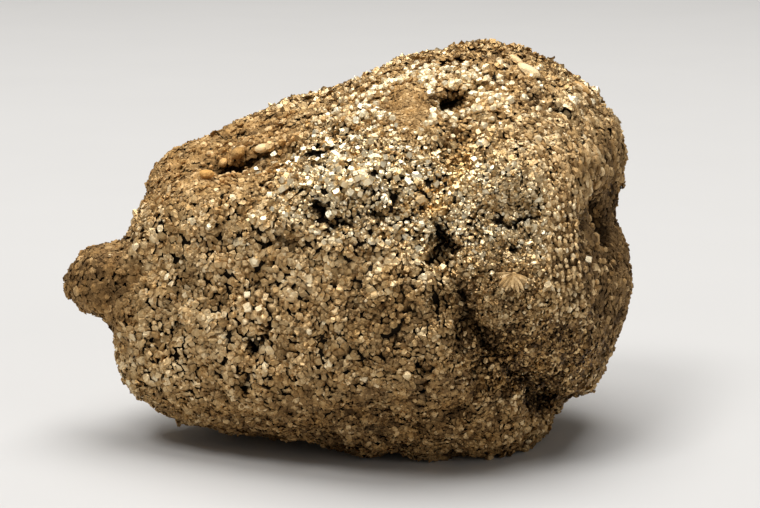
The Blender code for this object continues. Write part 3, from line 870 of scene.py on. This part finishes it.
def makePlateFan(material):
    f, pick, groups = plateFan, random.Random(plateFan["seed"]), []
    foot, facing = frontPlace(*f["at"])
    for k in range(f["blades"]):
        share = (f["turn"][1] - f["turn"][0]) * k / (f["blades"] - 1)
        turn = f["turn"][0] + share + pick.uniform(-f["sway"], f["sway"])
        length = pick.uniform(*f["length"])
        tip = (pick.uniform(-f["roll"], f["roll"]), pick.uniform(-f["pitch"], f["pitch"]), 0)
        axes = tipped(axesFor(facing, turn), tip)
        verts, faces = pebble(f["corners"], f["thickness"])
        blade = (verts * (length, f["width"], f["width"])) @ axes
        put = blade + foot + axes[0] * length * f["along"] + facing * f["out"]
        finish = plainFinish(f, len(verts), pick.uniform(-f["tones"], f["tones"]))
        groups.append((put[None], finish, faces))
    return joinShapes("plateFan", groups, material)


# how far each shape tips out of line, how far the bits of a broken crystal lie aside and how large they
# are for it, and how far a crystal stands out for its width
crystalSettings = dict(tips={"cut": 0.45, "lump": 0.45, "lit": 0.34, "pebble": 0}, bitAside=0.34,
                       bitSize=0.58, out=0.25, pebble=(90, 0.7), seed=11)
crystalMakers = {"cut": lambda pick: cutCube(pick, 3), "lump": lambda pick: chunk(pick, 18),
                 "lit": lambda pick: cutCube(pick, 4), "pebble": lambda _: pebble(*crystalSettings["pebble"])}


def largeCrystal(c, pick):
    s = crystalSettings
    verts, faces = crystalMakers[c["shape"]](pick)
    aside, size = (s["bitAside"] * c["size"], s["bitSize"] * c["size"]) if "bits" in c else (0, c["size"])
    at, facing = frontPlace(*(place + pick.uniform(-aside, aside) for place in c["at"]))
    tip = Vector([pick.uniform(-1, 1) for _ in range(3)]) * s["tips"][c["shape"]]
    axes = tipped(axesFor(litFacing if c["shape"] == "lit" else facing, c["turn"]), tip)
    width = size / math.sqrt(c["long"])
    sized = verts * (width * c["long"], width, width)
    return (sized @ axes + at + facing * s["out"] * width)[None], plainFinish(c, len(verts)), faces


def makeLargeCrystals(material):
    pick = random.Random(crystalSettings["seed"])
    groups = [largeCrystal(c, pick) for c in largeCrystals.values() for _ in range(c.get("bits", 1))]
    return joinShapes("largeCrystals", groups, material)


# rounded or cut bright crystals strewn over a patch: how many, their least and greatest size in mm, and how
# long they are for their width, upwards
beads = {
    "crown": dict(at=(5, 19), reach=(12, 5), count=270, size=(0.55, 1.00), fresh=1.00, gold=0.20,
                  shine=0.50),
    "centre": dict(at=(-3, 9), reach=(10, 5), count=190, size=(0.45, 0.95), cut=True, fresh=1.00, gold=0.10,
                   shine=0.80),
    "top slope": dict(at=(-16, 13), reach=(11, 5), count=120, size=(0.45, 0.80), fresh=0.54, gold=0.45,
                      shine=0.15),
    "right shoulder": dict(at=(22, 13), reach=(5, 7), count=120, size=(0.50, 0.80), long=1.8, fresh=0.46,
                           gold=0.10, shine=0.20),
    "blocky front": dict(at=(-14, -4), reach=(13, 9), count=70, size=(0.50, 0.80), fresh=0.60, gold=0.30,
                         shine=0.45),
    "right side": dict(at=(26, 2), reach=(3, 9), count=40, size=(0.50, 0.90), fresh=0.34, gold=0.20,
                       shine=0.25),
}
# and in rows side by side along a line
beadRows = {
    "lobe edge": dict(line=((19.0, 11.6), (20.1, 7.4), (20.3, 0.5), (20.8, -4.0), (21.6, -8.2)),
                      rows=6, apart=0.68, step=0.56, size=(0.42, 0.60)),
    "bank": dict(line=((8.2, -7.2), (9.6, -9.4), (10.9, -11.6), (12.6, -13.6)),
                 rows=1, apart=0.4, step=0.75, size=(0.35, 0.60)),
}
rowFinish = dict(fresh=0.52, gold=0.03, shine=0.40, long=1.3)
# lean is in degrees, sway in mm, and out for the bead's size; no bead lies where a hole's painted shade is
# above shadiest, nor within bare of a zone that has none
beadSettings = dict(corners=(12, 14, 16, 18), stretch=(0.85, 1.2), out=(0.05, 0.30), lean=12, tones=0.08,
                    sway=0.05, shadiest=0.2, bare=0.5, shapeSeed=13, seed=31)


def makeBeads(material):
    s, groups = beadSettings, []
    rng, pick = np.random.default_rng(s["seed"]), random.Random(s["shapeSeed"])
    rounded = [chunk(pick, n) for n in s["corners"]]

    def add(place, facing, size, finish):
        verts, faces = (crystalShapes if "cut" in finish else rounded)[rng.integers(len(rounded))]
        turned = (verts * rng.uniform(*s["stretch"], 3) * size) @ randomTurns(1, rng)[0]
        if "long" in finish:
            upright = axesFor(facing, 90 + rng.normal(0, s["lean"]))[0]
            turned += np.outer(turned @ upright, upright) * (finish["long"] - 1)
        colour = plainFinish(finish, len(verts), rng.normal(0, s["tones"])).clip(0, 1)
        groups.append(((turned + place + facing * size * rng.uniform(*s["out"]))[None], colour, faces))

    free = frontShare(grainView) * (holeDepth(grainView)[1] < s["shadiest"])
    for zone in zones.values():
        if not zone.get("beads", True):
            free *= offPatch(grainView, zone["at"], zone["reach"]) > s["bare"]
    for patch in beads.values():
        weight = np.exp(-patchFade * offPatch(grainView, patch["at"], patch["reach"])) * free
        for i in rng.choice(len(weight), patch["count"], replace=False, p=weight / weight.sum()):
            add(grainPlaces[i], grainNormals[i], rng.uniform(*patch["size"]), patch)
    for row in beadRows.values():
        for k in range(row["rows"]):
            aside = (k - (row["rows"] - 1) / 2) * row["apart"]
            for start, end in zip(row["line"], row["line"][1:]):
                count = round(math.dist(start, end) / row["step"])
                for share in np.arange(count) / count:
                    right, up = start + np.subtract(end, start) * share + rng.normal(0, s["sway"], 2)
                    add(*frontPlace(right + aside, up), rng.uniform(*row["size"]), rowFinish)
    return joinShapes("beads", groups, material)


# ---- materials
def newMaterial(name):
    material = bpy.data.materials.new(name)
    material.use_nodes = True
    return material, material.node_tree, material.node_tree.nodes["Principled BSDF"]


def addNode(tree, kind, **values):
    node = tree.nodes.new(kind)
    for key, value in values.items():
        if key in node.inputs:
            node.inputs[key].default_value = value
        else:
            setattr(node, key, value)
    return node


def feed(tree, socket, value):           # a number or a colour is set, and a node's output is linked
    if isinstance(value, (int, float)):
        socket.default_value = value
    elif isinstance(value, tuple):
        socket.default_value = (*value, 1)
    else:
        tree.links.new(value, socket)


def maths(tree, operation, a, b, clamp=False):
    node = addNode(tree, "ShaderNodeMath", operation=operation, use_clamp=clamp)
    feed(tree, node.inputs[0], a)
    feed(tree, node.inputs[1], b)
    return node.outputs[0]


def scaled(tree, value, times, plus, clamp=False):
    return maths(tree, "ADD", maths(tree, "MULTIPLY", value, times), plus, clamp)


def ramp(tree, factor, stops):
    node = addNode(tree, "ShaderNodeValToRGB")
    while len(node.color_ramp.elements) < len(stops):
        node.color_ramp.elements.new(0.5)
    for element, (at, colour) in zip(node.color_ramp.elements, stops):
        element.position, element.color = at, (*colour, 1)
    feed(tree, node.inputs[0], factor)
    return node.outputs[0]


def mixColours(tree, factor, a, b, blend="MIX"):
    node = addNode(tree, "ShaderNodeMix", data_type="RGBA", blend_type=blend)
    for slot, value in ((0, factor), (6, a), (7, b)):
        feed(tree, node.inputs[slot], value)
    return node.outputs[2]


def noiseTexture(tree, size, detail=3.0, rough=0.55):   # size in mm
    coords = addNode(tree, "ShaderNodeTexCoord")
    node = addNode(tree, "ShaderNodeTexNoise", Scale=1000 / size, Detail=detail, Roughness=rough)
    tree.links.new(coords.outputs["Object"], node.inputs["Vector"])
    return node.outputs["Fac"]


def addBump(tree, shader, height, strength, distance):
    bump = addNode(tree, "ShaderNodeBump", Strength=strength, Distance=distance)
    tree.links.new(height, bump.inputs["Height"])
    tree.links.new(bump.outputs[0], shader.inputs["Normal"])


# tones run from dark through brown, bronze and brass to pale. Patches change the tone: their size in mm,
# detail and how much. Spread, rough and the like give the value where dull and what shine adds to it
pyriteLook = dict(
    tones=((0.0, (0.075, 0.044, 0.020)), (0.18, (0.25, 0.155, 0.070)), (0.42, (0.48, 0.325, 0.150)),
           (0.68, (0.78, 0.61, 0.36)), (1.0, (0.94, 0.84, 0.62))),
    patches=((5.0, 3.0, 0.30), (1.7, 2.0, 0.60), (0.6, 3.0, 0.26), (0.20, 2.0, 0.30)),
    spread=(0.06, 0.42), glintPower=9.0, glint=0.30,
    gold=(1.0, 0.79, 0.45), tarnish=(2.4, 2.0), tarnished=1.1, tarnishedAbove=0.55,
    # shadeAndGrime is the near-black that painted shade and joint dirt darken towards
    shadeAndGrime=(0.020, 0.013, 0.007), shadeAndGrimePower=1.6, shadeAndGrimeMost=0.92,
    rough=(0.82, -0.58), roughSpread=0.10, pitted=(0.26, 3.0, 0.6), bump=0.8, bumpDepth=0.00011)


def makePyrite():
    s = pyriteLook
    material, tree, shader = newMaterial("pyriteGrains")
    finish = addNode(tree, "ShaderNodeAttribute", attribute_name="finish")
    parts = addNode(tree, "ShaderNodeSeparateColor")
    tree.links.new(finish.outputs["Color"], parts.inputs[0])
    fresh, gold, shadeAndDirt = parts.outputs
    shine = finish.outputs["Alpha"]
    island = addNode(tree, "ShaderNodeNewGeometry").outputs["Random Per Island"]
    tone = scaled(tree, maths(tree, "POWER", island, s["glintPower"]), s["glint"], fresh)
    spread = scaled(tree, shine, s["spread"][1], s["spread"][0])
    changes = [(island, spread)]
    changes += [(noiseTexture(tree, size, detail), share) for size, detail, share in s["patches"]]
    for source, share in changes:
        last = source == changes[-1][0]
        tone = scaled(tree, maths(tree, "SUBTRACT", source, 0.5), share, tone, last)
    colour = ramp(tree, tone, s["tones"])
    gilded = mixColours(tree, 1.0, colour, s["gold"], "MULTIPLY")
    gold = scaled(tree, noiseTexture(tree, *s["tarnish"]), s["tarnished"], gold)
    gold = maths(tree, "SUBTRACT", gold, s["tarnishedAbove"], True)
    colour = mixColours(tree, gold, colour, gilded)
    # the blue channel darkens the colour: painted shade from holes, the valley and hollows, and dirt from the
    # joints
    shadeAndGrime = maths(tree, "MULTIPLY", maths(tree, "POWER", shadeAndDirt, s["shadeAndGrimePower"]), s["shadeAndGrimeMost"])
    colour = mixColours(tree, shadeAndGrime, colour, s["shadeAndGrime"])
    tree.links.new(colour, shader.inputs["Base Color"])
    shader.inputs["Metallic"].default_value = 1.0
    rough = scaled(tree, shine, s["rough"][1], s["rough"][0])
    tree.links.new(scaled(tree, island, s["roughSpread"], rough), shader.inputs["Roughness"])
    addBump(tree, shader, noiseTexture(tree, *s["pitted"]), s["bump"], s["bumpDepth"])
    return material


# the body's near-black tones are painted shade in the crevices between the grains
creviceShadeLook = dict(tones=((0.3, (0.006, 0.004, 0.002)), (0.75, (0.022, 0.014, 0.007))), grain=0.5,
                  metallic=0.9, rough=0.62, bump=0.6, bumpDepth=0.0002)


def makeCreviceShade():
    s = creviceShadeLook
    material, tree, shader = newMaterial("paintedCreviceShade")
    grain = noiseTexture(tree, s["grain"])
    tree.links.new(ramp(tree, grain, s["tones"]), shader.inputs["Base Color"])
    shader.inputs["Metallic"].default_value = s["metallic"]
    shader.inputs["Roughness"].default_value = s["rough"]
    addBump(tree, shader, grain, s["bump"], s["bumpDepth"])
    return material


pyrite, creviceShade = makePyrite(), makeCreviceShade()
print("materials", pyrite.name, "and", creviceShade.name)

# the body, set in a little under the grains, near-black as painted shade in the crevices between them
inset = aboveFoot(surface[:, 2:3]) * bodySettings["inset"]
bodyMesh.vertices.foreach_set("co", ((surface - surfaceNormals * inset) * mm).ravel())
bodyMesh.update()
addPiece("lumpBody", bodyMesh, creviceShade)

# the grains, as one piece for each side: how far back the front reaches and where its middle part begins
# and ends, in mm, and how far down a grain faces underneath
sideSettings = dict(frontTo=3.5, middle=(-6, 9), underFacing=-0.25)
right, _, back = grainView.T
isFront = back < sideSettings["frontTo"]
isUnder = grainNormals[:, 2] < sideSettings["underFacing"]
isLeft, isRight = right < sideSettings["middle"][0], right >= sideSettings["middle"][1]
sides = {
    "frontLeftGrains": isFront & ~isUnder & isLeft,
    "frontMiddleGrains": isFront & ~isUnder & ~isLeft & ~isRight,
    "frontRightGrains": isFront & ~isUnder & isRight,
    "underGrains": isFront & isUnder,
    "underBackGrains": ~isFront & isUnder,
    "backGrains": ~isFront & ~isUnder,
}
for name, chosen in sides.items():
    joinGrains(name, np.nonzero(chosen)[0], pyrite)
makeLargeCrystals(pyrite)
makePlateFan(pyrite)
makeBeads(pyrite)

# ---- floor, light and camera, in metres: each lamp's place, power and size
stageSettings = dict(
    floor=(0.56, 0.55, 0.535), floorDark=0.985, floorGrain=40.0, floorRough=0.9, floorSize=8.0,
    world=0.17, worldColour=(1.0, 0.96, 0.91),
    lamps={"key": ((-0.45, -0.50, 1.10), 7.0, 0.40), "top": ((0.02, 0.10, 1.28), 19.5, 1.0),
           "fill": ((0.95, -0.85, 0.50), 1.4, 0.60)})
cameraSettings = dict(lens=100, sensor=36, away=0.2443, nearest=0.01)
lumpMiddle = Vector((0, 0, middleHeight * mm))


def makeFloor():
    s = stageSettings
    mesh = bpy.data.meshes.new("floor")
    h = s["floorSize"] / 2
    mesh.from_pydata([(-h, -h, 0), (h, -h, 0), (h, h, 0), (-h, h, 0)], [], [(0, 1, 2, 3)])
    floor = bpy.data.objects.new("floor", mesh)
    bpy.context.scene.collection.objects.link(floor)
    material, tree, shader = newMaterial("paleFloor")
    darker = tuple(s["floorDark"] * v for v in s["floor"])
    tint = ramp(tree, noiseTexture(tree, s["floorGrain"]), ((0.3, darker), (0.7, s["floor"])))
    tree.links.new(tint, shader.inputs["Base Color"])
    shader.inputs["Roughness"].default_value = s["floorRough"]
    mesh.materials.append(material)


def makeLight():
    world = bpy.data.worlds.new("studio")
    bpy.context.scene.world = world
    world.use_nodes = True
    background = world.node_tree.nodes["Background"]
    background.inputs[0].default_value = (*stageSettings["worldColour"], 1)
    background.inputs[1].default_value = stageSettings["world"]
    for name, (place, power, size) in stageSettings["lamps"].items():
        lamp = bpy.data.lights.new(name, "AREA")
        lamp.energy, lamp.size = power, size
        aimed(bpy.data.objects.new(name, lamp), place)


def aimed(thing, place):                 # puts a lamp or the camera at a place, looking at the lump
    thing.location = place
    thing.rotation_mode = "QUATERNION"
    thing.rotation_quaternion = (lumpMiddle - Vector(place)).to_track_quat("-Z", "Y")
    bpy.context.scene.collection.objects.link(thing)
    return thing


def makeCamera():
    s = cameraSettings
    data = bpy.data.cameras.new("camera")
    data.lens, data.sensor_width, data.clip_start = s["lens"], s["sensor"], s["nearest"]
    place = lumpMiddle + Vector((0, -math.cos(lean), math.sin(lean))) * s["away"]
    bpy.context.scene.camera = aimed(bpy.data.objects.new("camera", data), place)


makeFloor()
makeLight()
makeCamera()
bpy.context.scene.view_settings.view_transform = "Standard"
print("floor, light and camera")
